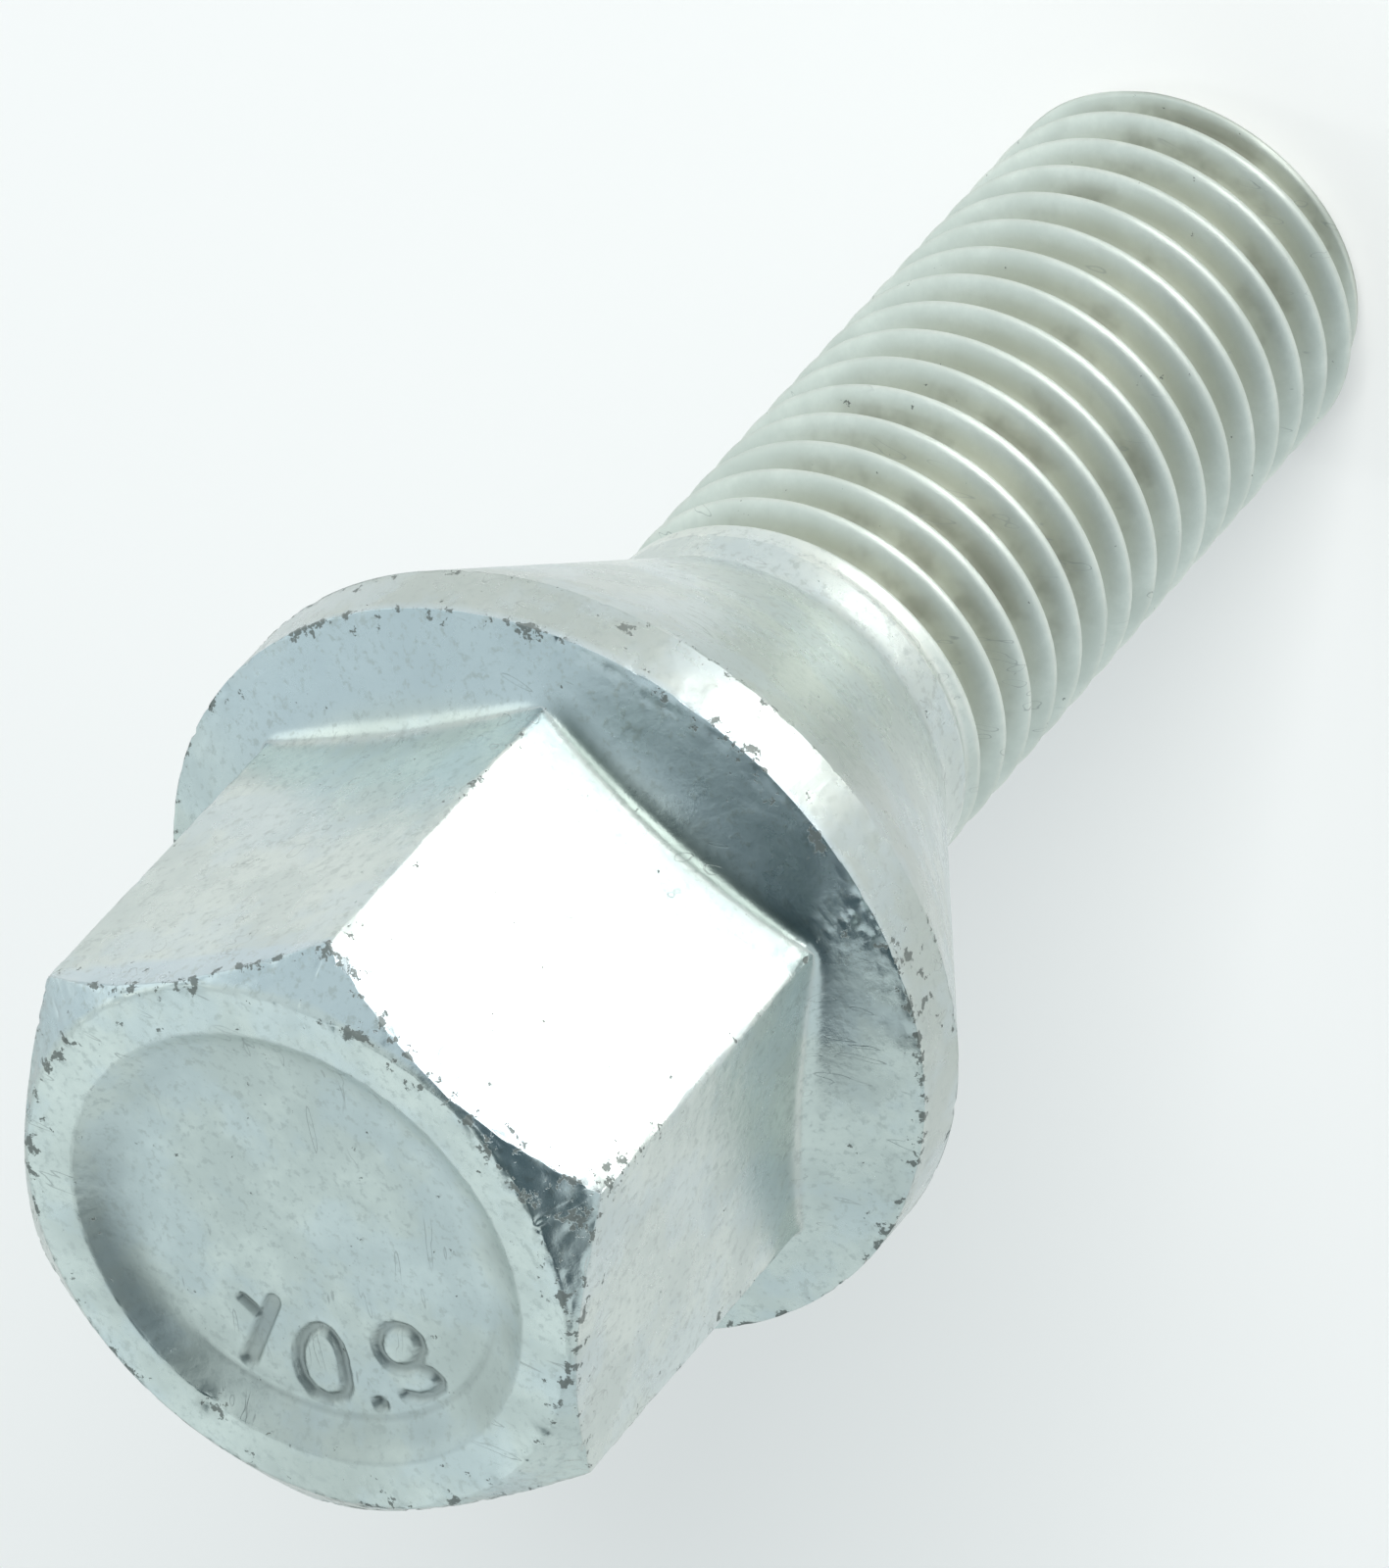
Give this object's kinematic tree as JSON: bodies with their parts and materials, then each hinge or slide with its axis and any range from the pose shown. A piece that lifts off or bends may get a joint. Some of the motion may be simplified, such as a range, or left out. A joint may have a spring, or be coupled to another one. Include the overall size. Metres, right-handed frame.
{
  "type": "wheel bolt",
  "caption": "Zinc-plated wheel bolt with a dished hexagon head, round flange, conical seat and a chamfered threaded shank.",
  "frame": {"origin": "centre of the thread's end face", "axes": "+Z along the bolt's axis towards the hexagon's end face; +X and +Y across the axis, with flats of the hexagon facing +X and -X"},
  "size_m": [0.0234, 0.0234, 0.0518],
  "materials": {
    "zinc_steel": "satin bright zinc plating, slightly worn at the edges"
  },
  "bodies": {
    "root": {"bolt": "zinc_steel"}
  },
  "joints": []
}
